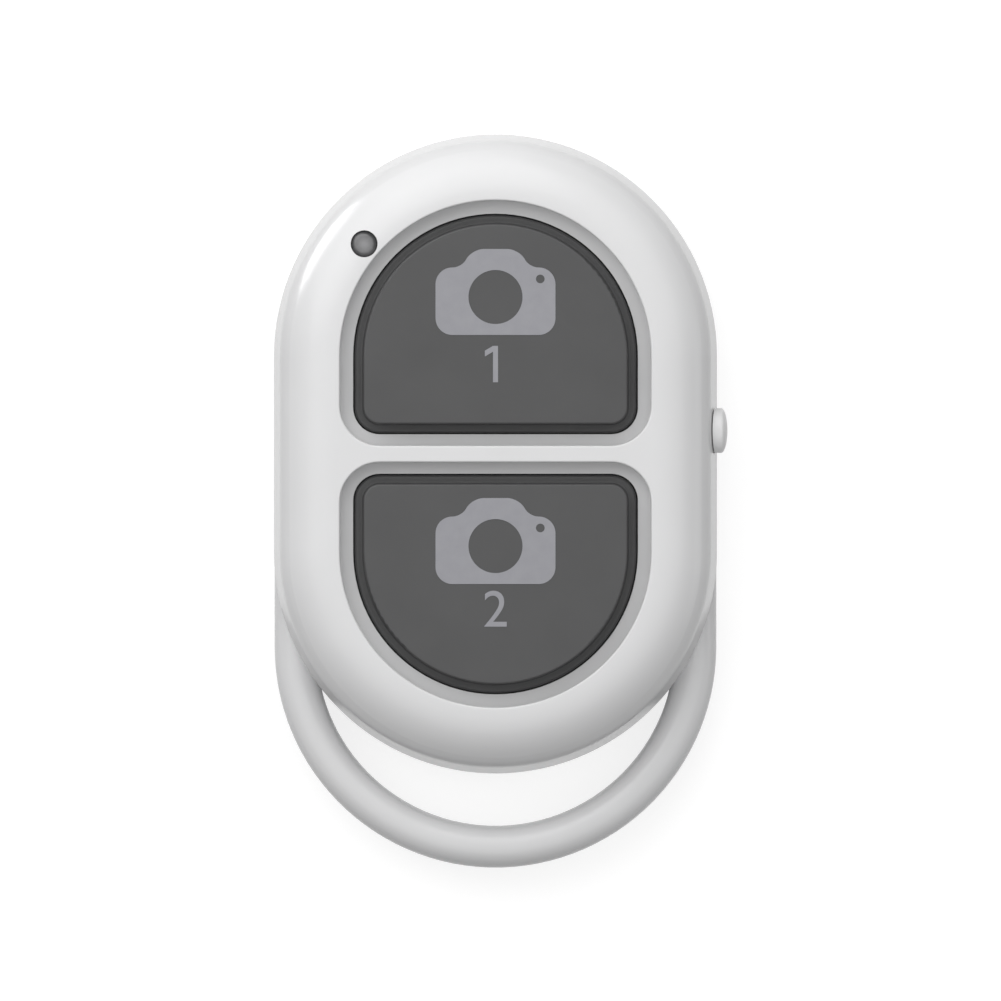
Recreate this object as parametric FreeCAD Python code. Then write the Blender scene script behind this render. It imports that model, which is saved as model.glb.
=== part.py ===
import FreeCAD
import Part
import math
import os

from FreeCAD import Vector

# Wireless shutter remote for a phone camera, lying on its back with the buttons up.
# It is a pill-shaped two-part plastic case with a carrying loop moulded on the back half,
# two D-shaped shutter buttons, a status light, a side power switch and a sliding battery door.
# All sizes are millimetres. X is across the case, Y runs from the loop to the light end, Z is up.
# The origin lies on the resting surface, midway between the loop's end and the case's far end.

# Case outline and section
body_radius = 15.82
arc_spacing = 14.0
body_thickness = 11.0
back_round = 3.2
wall = 1.3
floor_thickness = 0.8

# Seam between the case halves, with its lip and snaps
seam_drop = 0.1
seam_chamfer = 0.12
lip_height = 0.8
lip_thickness = 0.55
lip_gap = 0.05
snap_length = 3.0
snap_reach = 0.25
snap_height = 0.4
snap_gap = 0.08

# Carrying loop
loop_wire = 3.0
loop_drop = 6.77
loop_height = 3.4
loop_inset = 0.04

# Button pockets in the face
rim_width = 4.71
face_land = 0.31
side_lean = 8
shoulder_bend = 2.9
pocket_depth = 1.5
pocket_corner = 2.85
pocket_edge_round = 0.15
bridge_width = 1.2
ledge_thickness = 0.7
ledge_side = 1.06
ledge_middle = 0.93
ledge_backing = 0.9

# Buttons
button_proud = 0.5
button_edge_round = 0.15
button_roof = 1.2
button_wall = 0.9
border_width = 0.62
border_rise = 0.35
border_cove = 0.2
button_gap = 0.12
button_travel = 0.3
button_rest_gap = 0.05
flange_reach = 0.65
flange_thickness = 0.6
stem_radius = 1.3
stiffener_width = 0.6
stiffener_depth = 1.0

# Circuit board and the posts that pinch it
board_edge_gap = 0.52
board_thickness = 0.8
board_hole_gap = 0.15
post_radius = 0.9
post_inset = 1.82
post_angles = (200, 240, 300, 340)
locating_pin_radius = 0.5
locating_pin_gap = 0.1

# Press switches under the buttons
switch_size = 4.8
switch_height = 1.4
switch_plate = 0.15
switch_tab_width = 1.6
switch_well_radius = 1.9
switch_foot_reach = 0.85
switch_foot_width = 0.7
switch_foot_pitch = 3.46
switch_foot_thickness = 0.2
plunger_radius = 1.2
plunger_foot_radius = 1.6
plunger_foot_height = 0.27
plunger_gap = 0.1
plunger_left = 0.3
dome_radius = 1.7
dome_left = 0.18
dome_thickness = 0.08

# Power switch in the side wall
power_forward = 1.55
power_travel = 1.5
power_body_width = 2.7
power_body_length = 6.7
power_body_height = 1.4
power_can_thickness = 0.2
power_can_inset = 0.6
power_leg_reach = 0.8
power_leg_width = 0.5
power_leg_pitch = 2.2
power_leg_thickness = 0.2
actuator_width = 1.3
actuator_height = 0.6
actuator_reach = 2.7
actuator_gap = 0.05
slider_length = 2.4
slider_root = 0.5
wiper_thickness = 0.13
wiper_margin = 0.3
wiper_gap = 0.02

# Knob of the power switch
knob_length = 3.2
knob_height = 2.6
knob_proud = 0.75
knob_dome = 0.45
knob_bed = 1.0
knob_shift = 0.62
knob_gap = 0.08
knob_slot_gap = 0.1

# Status light
light_inset = 3.48
light_angle = 139.5
light_radius = 0.93
light_hole_gap = 0.03
light_recess = 0.3
light_edge_round = 0.4
light_sleeve_wall = 0.5
light_sleeve_drop = 3.0
light_collar_reach = 0.32
light_collar_height = 0.5
light_air_gap = 0.2
emitter_length = 1.6
emitter_width = 0.8
emitter_height = 0.65

# Coin cell
battery_radius = 10.0
battery_height = 3.2
battery_setback = 2.385
battery_side_gap = 0.3
battery_end_gap = 0.2
battery_cap_radius = 8.75
battery_seal_width = 0.35
battery_seal_drop = 0.08
battery_step = 0.15
battery_cap_height = 0.4
battery_cap_round = 0.2
battery_edge_round = 0.45
battery_ring_wall = 1.0

# Battery contacts
contact_gap = 0.5
contact_thickness = 0.15
contact_width = 3.0
contact_side_gap = 0.3
contact_foot = 2.2
finger_bend = 0.6
finger_run = 2.4
leg_ridge_radius = 0.24
leg_ridge_height = 1.6
leg_tip_height = 1.0

# Battery door
door_thickness = 1.2
door_width = 23.0
door_margin = 1.5
door_gap = 0.1
rail_reach = 0.6
rail_thickness = 0.5
rail_length = 5.0
rail_spacing = 11.0
hook_reach = 0.8
hook_width = 16.0
grip_count = 5
grip_pitch = 1.1
grip_width = 0.5
grip_depth = 0.3
grip_length = 9.0
grip_start = 3.0

# Case screws
screw_radius = 0.7
screw_head_radius = 1.3
screw_head_height = 0.8
screw_head_round = 0.3
screw_slot_length = 1.6
screw_slot_width = 0.3
screw_slot_depth = 0.4
screw_bite = 2.7
screw_tip_gap = 0.2
screw_side = 4.5
screw_inset = 1.92
screw_fit = 0.02
screw_hole_gap = 0.15
screw_boss_radius = 1.5
screw_post_radius = 2.0
screw_seat = 1.0

# Parts soldered on the board, with their places from the middle of the case
trace_thickness = 0.05
antenna_width = 0.4
antenna_pitch = 1.1
antenna_folds = 7
antenna_length = 3.2
antenna_margin = 2.0
antenna_gap = 0.5
feed_drop = 0.18
radio_chip_size = 5.0
radio_chip_height = 0.85
radio_chip_x = -6.0
memory_chip_width = 3.9
memory_chip_length = 4.9
memory_chip_height = 1.35
memory_chip_lift = 0.15
memory_leg_span = 5.8
memory_leg_width = 0.4
memory_leg_pitch = 1.27
memory_legs_a_side = 4
crystal_length = 3.2
crystal_width = 2.5
crystal_height = 0.75
crystal_corner = 0.35
crystal_gap = 0.85
chip_part_length = 1.0
chip_part_width = 0.5
capacitor_height = 0.5
resistor_height = 0.35
chip_part_pitch = 1.3
chip_part_gap = 0.75
memory_chip_gap = 0.25
large_capacitor_scale = 1.6

# How far cutting bodies run past the face that they open
past = 1.0

# Levels and stations worked out from the sizes above
overall_length = 2 * body_radius + arc_spacing + loop_drop - loop_inset
upper_y = overall_length / 2 - body_radius
lower_y = upper_y - arc_spacing
middle_y = (upper_y + lower_y) / 2
loop_y = lower_y - loop_drop
inner_radius = body_radius - wall
pocket_radius = body_radius - rim_width
land_radius = body_radius - rim_width + face_land
floor_bottom = door_thickness + door_gap
floor_top = floor_bottom + floor_thickness
pocket_floor = body_thickness - pocket_depth
ledge_bottom = pocket_floor - ledge_thickness
button_radius = pocket_radius - ledge_side
button_flat = bridge_width / 2 + ledge_middle
button_corner = pocket_corner - ledge_side
button_height = body_thickness + button_proud
border_top = pocket_floor + border_rise
button_middle = (button_flat + arc_spacing / 2 + button_radius) / 2
flange_top = ledge_bottom - button_rest_gap
flange_bottom = flange_top - flange_thickness
battery_y = upper_y - battery_setback
battery_bottom = door_thickness + battery_end_gap
battery_top = battery_bottom + battery_height
board_bottom = battery_top + contact_gap
board_top = board_bottom + board_thickness
board_radius = inner_radius - board_edge_gap
seam_height = board_bottom - seam_drop
switch_top = board_top + switch_height
dome_rise = button_travel + dome_left
dome_foot = switch_top - switch_plate - plunger_gap - plunger_foot_height - dome_rise
plunger_top = switch_top + button_travel + plunger_left
door_start = battery_y - battery_radius - door_margin
rail_bottom = door_thickness - door_gap - rail_thickness
power_y = middle_y + power_forward
power_rest_y = power_y + power_travel / 2
knob_y = power_rest_y - knob_shift
power_z = board_top + power_body_height / 2
power_right = board_radius - power_can_inset
power_left = power_right - power_body_width
knob_end = body_radius + knob_proud
resistor_x = power_left - power_leg_reach - chip_part_gap - chip_part_length / 2
memory_chip_x = resistor_x - chip_part_length / 2 - memory_chip_gap - memory_leg_span / 2
antenna_low = lower_y - board_radius + antenna_margin
antenna_high = antenna_low + antenna_length
antenna_reach = antenna_pitch * (antenna_folds - 1) / 2 + antenna_width
feed_x = antenna_reach + antenna_gap + large_capacitor_scale * chip_part_length / 2
feed_y = antenna_high - feed_drop
light_ring = body_radius - light_inset
light_x = light_ring * math.cos(math.radians(light_angle))
light_y = upper_y + light_ring * math.sin(math.radians(light_angle))
emitter_top = board_top + emitter_height
post_ring_radius = inner_radius - post_inset
screw_ring_radius = inner_radius - screw_inset
screw_y = upper_y + math.sqrt(screw_ring_radius ** 2 - screw_side ** 2)
screw_seat_z = floor_bottom + screw_seat


# Building blocks


def line(start, end):
    return Part.LineSegment(Vector(*start), Vector(*end)).toShape()


def arc(start, through, end):
    return Part.Arc(Vector(*start), Vector(*through), Vector(*end)).toShape()


def quarter_round(start, corner, end):
    """Quarter of an ellipse that leaves start towards corner and arrives at end."""
    curve = Part.BezierCurve()
    curve.setPoles([Vector(*start), Vector(*corner), Vector(*end)])
    curve.setWeight(2, math.sqrt(0.5))
    return curve.toShape()


def block(x_range, y_range, z_range):
    size = [high - low for low, high in (x_range, y_range, z_range)]
    return Part.makeBox(*size, Vector(x_range[0], y_range[0], z_range[0]))


def spread(middle, size):
    """Range of the given size about its middle."""
    return (middle - size / 2, middle + size / 2)


def post(radius, x, y, low, high):
    return Part.makeCylinder(radius, high - low, Vector(x, y, low))


def joined(first, others):
    return first.fuse(list(others)).removeSplitter()


def stadium(radius, low, high):
    """Upright prism with two half-round ends on the case's two arc centres."""
    edges = [
        arc((radius, upper_y, low), (0, upper_y + radius, low), (-radius, upper_y, low)),
        line((-radius, upper_y, low), (-radius, lower_y, low)),
        arc((-radius, lower_y, low), (0, lower_y - radius, low), (radius, lower_y, low)),
        line((radius, lower_y, low), (radius, upper_y, low)),
    ]
    return Part.Face(Part.Wire(edges)).extrude(Vector(0, 0, high - low))


def pill(edges):
    """Solid with the case's stadium plan and the half section given by edges at y = 0."""
    section = Part.Face(Part.Wire(edges))
    at_upper = section.translated(Vector(0, upper_y, 0))
    at_lower = section.translated(Vector(0, lower_y, 0))
    up = Vector(0, 0, 1)
    upper_end = at_upper.revolve(Vector(0, upper_y, 0), up, 180)
    lower_end = at_lower.revolve(Vector(0, lower_y, 0), up, -180)
    right = at_lower.extrude(Vector(0, arc_spacing, 0))
    left = right.mirror(Vector(0, 0, 0), Vector(1, 0, 0))
    return joined(right, [left, upper_end, lower_end])


def d_prism(radius, flat, corner, side, low, high):
    """Upright D-shaped prism. side is 1 at the light end and -1 at the loop end."""
    arc_y = middle_y + side * arc_spacing / 2
    flat_y = middle_y + side * flat
    corner_y = flat_y + side * corner
    pinch = corner * (1 - math.sqrt(0.5))
    edges = [
        arc((radius, arc_y, low), (0, arc_y + side * radius, low), (-radius, arc_y, low)),
        line((-radius, arc_y, low), (-radius, corner_y, low)),
        arc(
            (-radius, corner_y, low),
            (pinch - radius, flat_y + side * pinch, low),
            (corner - radius, flat_y, low),
        ),
        line((corner - radius, flat_y, low), (radius - corner, flat_y, low)),
        arc(
            (radius - corner, flat_y, low),
            (radius - pinch, flat_y + side * pinch, low),
            (radius, corner_y, low),
        ),
        line((radius, corner_y, low), (radius, arc_y, low)),
    ]
    return Part.Face(Part.Wire(edges)).extrude(Vector(0, 0, high - low))


def button_prism(grow, side, low, high):
    """D-shaped prism of the button's outline, grown outwards on every side."""
    return d_prism(
        button_radius + grow, button_flat - grow, button_corner + grow, side, low, high
    )


def edges_at(shape, z, within=None):
    """Edges that lie wholly at height z, and inside the box round the shape within."""
    tiny = 1e-4
    limits = (within or shape).BoundBox
    limits.enlarge(tiny)
    found = []
    for edge in shape.Edges:
        box = edge.BoundBox
        if abs(box.ZMin - z) < tiny and abs(box.ZMax - z) < tiny and limits.isInside(box):
            found.append(edge)
    return found


# Case halves


def on_round(x, z, radius, tilt):
    """Point of a round about x and z where its outside has this tilt from level."""
    return (x + radius * math.sin(tilt), 0, z + radius * math.cos(tilt))


def upper_section(radius, top, low, bend):
    """Half section from the side's foot: a leaning side, a tighter and a wider round, a flat top."""
    lean = math.radians(side_lean)
    side_tilt = math.pi / 2 - lean
    round_radius = radius - land_radius
    level = top - round_radius
    reach = round_radius * math.cos(lean) + (low - level) * math.sin(lean)
    join_tilt = math.asin((reach - bend) / (round_radius - bend)) - lean
    bend_x, _, bend_z = on_round(land_radius, level, round_radius - bend, join_tilt)
    side_top = on_round(bend_x, bend_z, bend, side_tilt)
    on_bend = on_round(bend_x, bend_z, bend, (side_tilt + join_tilt) / 2)
    join = on_round(land_radius, level, round_radius, join_tilt)
    on_shoulder = on_round(land_radius, level, round_radius, join_tilt / 2)
    return [
        line((radius, 0, low), side_top),
        arc(side_top, on_bend, join),
        arc(join, on_shoulder, (land_radius, 0, top)),
        line((land_radius, 0, top), (0, 0, top)),
    ]


def upper_outside(grow):
    """Outside of the face half, grown on every side but its seam."""
    z, top, radius = seam_height, body_thickness + grow, body_radius + grow
    return pill(
        [
            line((0, 0, z), (radius - seam_chamfer, 0, z)),
            line((radius - seam_chamfer, 0, z), (radius, 0, z + seam_chamfer)),
            *upper_section(radius, top, z + seam_chamfer, shoulder_bend + grow),
            line((0, 0, top), (0, 0, z)),
        ]
    )


def upper_inside():
    """Hollow of the face half, one wall inside its outside."""
    z, top = seam_height, body_thickness - wall
    return pill(
        [
            line((0, 0, z), (inner_radius, 0, z)),
            *upper_section(inner_radius, top, z, shoulder_bend - wall),
            line((0, 0, top), (0, 0, z)),
        ]
    )


def lower_outside():
    """Outside of the back half: a flat resting face with a rounded edge and upright sides."""
    z, radius = seam_height, body_radius
    return pill(
        [
            line((0, 0, 0), (radius - back_round, 0, 0)),
            quarter_round((radius - back_round, 0, 0), (radius, 0, 0), (radius, 0, back_round)),
            line((radius, 0, back_round), (radius, 0, z - seam_chamfer)),
            line((radius, 0, z - seam_chamfer), (radius - seam_chamfer, 0, z)),
            line((radius - seam_chamfer, 0, z), (0, 0, z)),
            line((0, 0, z), (0, 0, 0)),
        ]
    )


def lower_inside():
    """Hollow of the back half above its floor, open at the seam."""
    z, radius, low = seam_height + past, inner_radius, floor_top
    round_in = back_round - wall
    return pill(
        [
            line((0, 0, low), (radius - round_in, 0, low)),
            quarter_round((radius - round_in, 0, low), (radius, 0, low), (radius, 0, low + round_in)),
            line((radius, 0, low + round_in), (radius, 0, z)),
            line((radius, 0, z), (0, 0, z)),
            line((0, 0, z), (0, 0, low)),
        ]
    )


def post_places():
    """Where posts pinch the board, round the loop end of the case."""
    for degrees in post_angles:
        turn = math.radians(degrees)
        yield post_ring_radius * math.cos(turn), lower_y + post_ring_radius * math.sin(turn)


def pin_places():
    """The first and last posts also carry the pins that locate the board."""
    places = list(post_places())
    return [places[0], places[-1]]


def screw_places():
    return [(-screw_side, screw_y), (screw_side, screw_y)]


def snap_blocks(grow):
    """Snap ridges on the seam lip, or with grow the sockets they click into."""
    lip_outside = inner_radius + lip_thickness
    out = lip_outside + snap_reach + grow
    z_range = spread(seam_height - lip_height / 2, snap_height + 2 * grow)
    for y in (lower_y + snap_length, upper_y - snap_length):
        y_range = spread(y, snap_length + 2 * grow)
        yield block((lip_outside - lip_thickness / 2, out), y_range, z_range)
        yield block((-out, lip_thickness / 2 - lip_outside), y_range, z_range)


def loop():
    """Round bar that drops from both sides of the case and closes in a half circle."""
    radius = loop_wire / 2
    centre = body_radius - loop_inset - radius
    start = Vector(centre, loop_y, loop_height)
    along = Vector(0, 1, 0)
    section = Part.Face(Part.Wire(Part.makeCircle(radius, start, along)))
    bow = section.revolve(Vector(0, loop_y, 0), Vector(0, 0, 1), -180)
    legs = [
        Part.makeCylinder(radius, loop_drop, Vector(x, loop_y, loop_height), along)
        for x in (-centre, centre)
    ]
    return joined(bow, legs)


def seam_lip():
    """Thin wall that stands below the face half and fits inside the back half."""
    low = seam_height - lip_height
    outside = stadium(inner_radius + lip_thickness, low, seam_height)
    return outside.cut(stadium(inner_radius, low, seam_height))


def front_shell():
    """Face half of the case, with the button pockets, light hole and power switch slot."""
    top = body_thickness
    backing = stadium(pocket_radius + ledge_backing, ledge_bottom, top)
    bosses = [post(screw_boss_radius, x, y, board_top, top) for x, y in screw_places()]
    posts = [post(post_radius, x, y, board_top, top) for x, y in post_places()]
    pins = [post(locating_pin_radius, x, y, board_bottom, board_top) for x, y in pin_places()]
    hole_radius = light_radius + light_hole_gap
    sleeve_bottom = body_thickness - light_sleeve_drop
    sleeve = post(hole_radius + light_sleeve_wall, light_x, light_y, sleeve_bottom, top)
    hollow = upper_inside().cut([backing, *bosses, *posts, *pins, sleeve])
    shell = upper_outside(0).cut(hollow).fuse([seam_lip(), *snap_blocks(0)])

    pocket_top = body_thickness + past
    pockets = [
        d_prism(pocket_radius, bridge_width / 2, pocket_corner, side, pocket_floor, pocket_top)
        for side in (-1, 1)
    ]
    shell = shell.cut(pockets).removeSplitter()
    rims = edges_at(shell, body_thickness, Part.makeCompound(pockets))
    shell = shell.makeFillet(pocket_edge_round, rims)

    pilot_top = board_top + screw_bite + screw_tip_gap
    pilots = [
        post(screw_radius + screw_fit, x, y, board_top, pilot_top) for x, y in screw_places()
    ]
    light_hole = post(hole_radius, light_x, light_y, board_top, pocket_top)
    button_windows = [
        button_prism(button_gap, side, ledge_bottom - past, body_thickness) for side in (-1, 1)
    ]
    knob_slot = block(
        (power_right, body_radius + past),
        spread(power_y, actuator_width + power_travel + 2 * knob_slot_gap),
        spread(power_z, actuator_height + 2 * knob_slot_gap),
    )
    return shell.cut([*pilots, light_hole, *button_windows, knob_slot])


def door_bay():
    """Room for the battery door, open at the light end, with its side and end grooves."""
    y_end = overall_length
    y_start = door_start - door_gap
    groove = (rail_bottom - door_gap, floor_bottom)
    bay = block(spread(0, door_width + 2 * door_gap), (y_start, y_end), (-past, floor_bottom))
    rails = block(spread(0, door_width + 2 * (rail_reach + door_gap)), (y_start, y_end), groove)
    hook = block(spread(0, hook_width + 2 * door_gap), (y_start - hook_reach, y_end), groove)
    return [bay, rails, hook]


def back_shell():
    """Back half of the case, moulded in one with the carrying loop."""
    shell = lower_outside().fuse(loop()).cut(lower_inside())
    well_radius = battery_radius + battery_side_gap
    ring = post(well_radius + battery_ring_wall, 0, battery_y, floor_bottom, battery_top)
    screw_posts = [
        post(screw_post_radius, x, y, floor_bottom, board_bottom) for x, y in screw_places()
    ]
    posts = [post(post_radius, x, y, floor_bottom, board_bottom) for x, y in post_places()]
    shell = shell.fuse([ring, *screw_posts, *posts])

    well = post(well_radius, 0, battery_y, 0, battery_top + past)
    contact_notch = block(
        (-well_radius - battery_ring_wall - past, -battery_radius),
        spread(battery_y, contact_width + 2 * contact_side_gap),
        (floor_top, battery_top + past),
    )
    pin_ways = [
        post(locating_pin_radius + locating_pin_gap, x, y, floor_top, board_bottom)
        for x, y in pin_places()
    ]
    screw_ways = []
    for x, y in screw_places():
        screw_ways.append(post(screw_radius + screw_hole_gap, x, y, 0, board_bottom))
        screw_ways.append(post(screw_head_radius + screw_hole_gap, x, y, 0, screw_seat_z))
    rebate_z = (seam_height - lip_height - lip_gap, seam_height + past)
    rebate = stadium(inner_radius + lip_thickness + lip_gap, *rebate_z)
    rebate = rebate.cut(stadium(inner_radius - lip_gap, *rebate_z))
    shell = shell.cut([well, contact_notch, *pin_ways, *screw_ways, *door_bay(), rebate])
    return shell.cut(list(snap_blocks(snap_gap))).removeSplitter()


# Buttons


def button_cap(side):
    """Hollow D-shaped key: a raised top, a low border, a retaining flange and a stem."""
    crown = button_prism(-border_width, side, flange_bottom, button_height)
    crown = crown.makeFillet(button_edge_round, edges_at(crown, button_height))
    body = joined(crown, [button_prism(0, side, flange_bottom, border_top)])
    body = body.makeFillet(border_cove, edges_at(body, border_top, crown))
    flange = button_prism(flange_reach, side, flange_bottom, flange_top)
    roof = button_height - button_roof
    hollow = button_prism(-border_width - button_wall, side, flange_bottom, roof)
    y = middle_y + side * button_middle
    stem = post(stem_radius, 0, y, plunger_top, roof)
    into_wall = button_prism(-border_width - button_wall / 2, side, flange_bottom, roof)
    depth = (roof - stiffener_depth, roof)
    across = block(spread(0, 2 * button_radius), spread(y, stiffener_width), depth)
    along = block(spread(0, stiffener_width), spread(y, 2 * button_radius), depth)
    cross = across.fuse(along).common(into_wall)
    return joined(body.fuse(flange).cut(hollow), [stem, cross])


# Press switches


def switch_base(side):
    """Moulded base with a round well for the snap dome."""
    y = middle_y + side * button_middle
    base_top = switch_top - switch_plate
    base = block(spread(0, switch_size), spread(y, switch_size), (board_top, base_top))
    return base.cut(post(switch_well_radius, 0, y, dome_foot, switch_top))


def switch_cover(side):
    """Thin steel plate over the base, with two folded tabs down its sides."""
    y = middle_y + side * button_middle
    half = switch_size / 2
    plate_z = (switch_top - switch_plate, switch_top)
    plate = block(spread(0, switch_size), spread(y, switch_size), plate_z)
    tabs = [
        block((x, x + switch_plate), spread(y, switch_tab_width), (dome_foot, switch_top))
        for x in (-half - switch_plate, half)
    ]
    hole = post(plunger_radius + plunger_gap, 0, y, board_top, switch_top)
    return joined(plate, tabs).cut(hole)


def snap_dome(side):
    """Pressed metal dome that clicks and pushes the plunger back up."""
    y = middle_y + side * button_middle
    ball = (dome_radius ** 2 + dome_rise ** 2) / (2 * dome_rise)
    centre = Vector(0, y, dome_foot + dome_rise - ball)
    skin = Part.makeSphere(ball, centre).cut(Part.makeSphere(ball - dome_thickness, centre))
    return skin.common(post(ball, 0, y, dome_foot, dome_foot + dome_rise + past))


def plunger(side):
    """Round peg on the dome, held under the cover by its wider foot."""
    y = middle_y + side * button_middle
    foot = dome_foot + dome_rise
    base = post(plunger_foot_radius, 0, y, foot, foot + plunger_foot_height)
    return joined(base, [post(plunger_radius, 0, y, foot, plunger_top)])


def switch_feet():
    """Four soldered feet on each press switch, bent out from its base."""
    half = switch_size / 2
    upright = (board_top, dome_foot)
    flat = (board_top, board_top + switch_foot_thickness)
    feet = []
    for side in (-1, 1):
        switch_y = middle_y + side * button_middle
        for y in spread(switch_y, switch_foot_pitch):
            y_range = spread(y, switch_foot_width)
            for x in (half, -half - switch_foot_thickness):
                riser = block((x, x + switch_foot_thickness), y_range, upright)
                x_out = x if x > 0 else x + switch_foot_thickness - switch_foot_reach
                sole = block((x_out, x_out + switch_foot_reach), y_range, flat)
                feet.append(joined(riser, [sole]))
    return Part.makeCompound(feet)


# Power switch


def power_can():
    """Folded steel can over the switch's base, slotted on the side that faces the knob."""
    t = power_can_thickness
    y_range = spread(power_y, power_body_length)
    outside = block((power_left, power_right), y_range, (board_top, board_top + power_body_height))
    inside = block(
        (power_left + t, power_right - t),
        spread(power_y, power_body_length - 2 * t),
        (board_top, board_top + power_body_height - t),
    )
    slot = block(
        (power_right - t, power_right),
        spread(power_y, actuator_width + power_travel + 2 * actuator_gap),
        spread(power_z, actuator_height + 2 * actuator_gap),
    )
    return outside.cut([inside, slot])


def power_base():
    """Moulded floor with the fixed contacts, under the wiper."""
    t = power_can_thickness
    top = power_z - actuator_height / 2 - wiper_thickness - wiper_gap
    y_range = spread(power_y, power_body_length - 2 * t)
    return block((power_left + t, power_right - t), y_range, (board_top, top))


def power_wiper():
    """Sprung strip under the slider that bridges two of the fixed contacts."""
    inset = power_can_thickness + wiper_margin
    top = power_z - actuator_height / 2
    y_range = spread(power_rest_y, slider_length - 2 * wiper_margin)
    return block((power_left + inset, power_right - inset), y_range, (top - wiper_thickness, top))


def power_slider():
    """Slider inside the can, with the tongue that carries the outside knob."""
    inset = power_can_thickness + actuator_gap
    x_range = (power_left + inset, power_right - inset)
    low = power_z - actuator_height / 2
    high = board_top + power_body_height - inset
    body = block(x_range, spread(power_rest_y, slider_length), (low, high))
    tongue = block(
        (x_range[1] - slider_root, power_right + actuator_reach),
        spread(power_rest_y, actuator_width),
        spread(power_z, actuator_height),
    )
    return joined(body, [tongue])


def power_legs():
    """Three soldered legs along the can's inner side."""
    x_range = (power_left - power_leg_reach, power_left)
    z_range = (board_top, board_top + power_leg_thickness)
    legs = [
        block(x_range, spread(power_y + step * power_leg_pitch, power_leg_width), z_range)
        for step in (-1, 0, 1)
    ]
    return Part.makeCompound(legs)


def power_knob():
    """Domed oval nub, pushed on the switch's tongue off its middle to cover the slot when on."""
    start, dome_start, radius = body_radius - knob_bed, knob_end - knob_dome, knob_height / 2
    half_section = [
        line((start, 0, 0), (start, 0, radius)),
        line((start, 0, radius), (dome_start, 0, radius)),
        quarter_round((dome_start, 0, radius), (knob_end, 0, radius), (knob_end, 0, 0)),
        line((knob_end, 0, 0), (start, 0, 0)),
    ]
    nub = Part.Face(Part.Wire(half_section)).revolve(Vector(0, 0, 0), Vector(1, 0, 0), 360)
    stretch = FreeCAD.Matrix()
    stretch.scale(1, knob_length / knob_height, 1)
    nub = nub.transformGeometry(stretch).translated(Vector(0, knob_y, power_z))
    socket = block(
        (start, power_right + actuator_reach + actuator_gap),
        spread(power_rest_y, actuator_width + 2 * actuator_gap),
        spread(power_z, actuator_height + 2 * actuator_gap),
    )
    return nub.cut([upper_outside(knob_gap), socket])


# Status light


def light_emitter():
    x_range = spread(light_x, emitter_length)
    return block(x_range, spread(light_y, emitter_width), (board_top, emitter_top))


def light_surface():
    """Height of the case's outside over the light."""
    upright = line((light_x, light_y, seam_height), (light_x, light_y, body_thickness + past))
    return upright.common(upper_outside(0)).BoundBox.ZMax


def light_pipe():
    """Clear plug that carries the light up to the face, with a collar below its sleeve."""
    top = light_surface() - light_recess
    stem = post(light_radius, light_x, light_y, emitter_top + light_air_gap, top)
    stem = stem.makeFillet(light_edge_round, edges_at(stem, top))
    collar_top = body_thickness - light_sleeve_drop
    collar_bottom = collar_top - light_collar_height
    collar_radius = light_radius + light_collar_reach
    return joined(stem, [post(collar_radius, light_x, light_y, collar_bottom, collar_top)])


# Circuit board and what is soldered on it


def circuit_board():
    """Pill-shaped board with its screw and pin holes."""
    screws = [
        post(screw_radius + board_hole_gap, x, y, board_bottom, board_top)
        for x, y in screw_places()
    ]
    pins = [
        post(locating_pin_radius + locating_pin_gap, x, y, board_bottom, board_top)
        for x, y in pin_places()
    ]
    return stadium(board_radius, board_bottom, board_top).cut([*screws, *pins])


def antenna():
    """Copper trace folded to and fro at the loop end of the board."""
    level = (board_top, board_top + trace_thickness)
    first = -antenna_pitch * (antenna_folds - 1) / 2
    runs = []
    for fold in range(antenna_folds):
        x = first + fold * antenna_pitch
        runs.append(block((x, x + antenna_width), (antenna_low, antenna_high), level))
        if fold < antenna_folds - 1:
            end = antenna_high - antenna_width if fold % 2 else antenna_low
            link_x = (x, x + antenna_pitch + antenna_width)
            runs.append(block(link_x, (end, end + antenna_width), level))
    return joined(runs[0], runs[1:])


def radio_chip():
    """Square radio processor, under the bridge between the buttons."""
    x_range = spread(radio_chip_x, radio_chip_size)
    y_range = spread(middle_y, radio_chip_size)
    return block(x_range, y_range, (board_top, board_top + radio_chip_height))


def memory_chip():
    """Small settings memory with legs along both sides."""
    low = board_top + memory_chip_lift
    body = block(
        spread(memory_chip_x, memory_chip_width),
        spread(middle_y, memory_chip_length),
        (low, low + memory_chip_height),
    )
    legs = []
    for row in range(memory_legs_a_side):
        y = middle_y + (row - (memory_legs_a_side - 1) / 2) * memory_leg_pitch
        x_range = spread(memory_chip_x, memory_leg_span)
        z_range = (board_top, low + trace_thickness)
        legs.append(block(x_range, spread(y, memory_leg_width), z_range))
    return joined(body, legs)


def crystal():
    """Metal-lidded clock crystal on the loop side of the radio chip."""
    y = middle_y - radio_chip_size / 2 - crystal_gap - crystal_width / 2
    x_range = spread(radio_chip_x, crystal_length)
    can = block(x_range, spread(y, crystal_width), (board_top, board_top + crystal_height))
    upright = [edge for edge in can.Edges if edge.BoundBox.ZLength > crystal_height / 2]
    return can.makeFillet(crystal_corner, upright)


def chip_part(x, y, x_size, y_size, height):
    return block(spread(x, x_size), spread(y, y_size), (board_top, board_top + height))


def chip_row(count, x, y, along_x, height):
    """Row of small two-ended parts, side by side, about its middle."""
    across, length = chip_part_width, chip_part_length
    for place in range(count):
        step = (place - (count - 1) / 2) * chip_part_pitch
        if along_x:
            yield chip_part(x + step, y, across, length, height)
        else:
            yield chip_part(x, y + step, length, across, height)


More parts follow.
